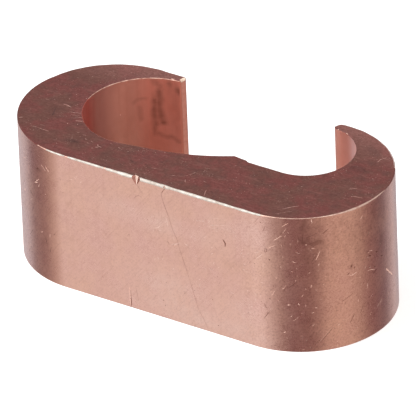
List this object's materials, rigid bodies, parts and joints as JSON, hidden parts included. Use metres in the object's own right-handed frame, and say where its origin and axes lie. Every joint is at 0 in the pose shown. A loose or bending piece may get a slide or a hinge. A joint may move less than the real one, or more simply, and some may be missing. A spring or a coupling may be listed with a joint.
{
  "type": "e-type grounding connector",
  "caption": "Compression grounding connector in bare copper: a long rounded body whose large run groove and smaller tap groove face each other inside one wide mouth, closed by a crimping die.",
  "frame": {"origin": "middle of the body's outline, on the lower sawn end that it stands on", "axes": "+X along the long side from the run groove to the tap groove, +Y from the front flat to the open mouth, +Z along the extrusion, up"},
  "size_m": [0.0506, 0.0232, 0.0191],
  "materials": {
    "copper": "bare copper, satin on the drawn sides and dull brown on the sawn ends"
  },
  "bodies": {
    "root": {"connector_body": "copper"}
  },
  "joints": []
}
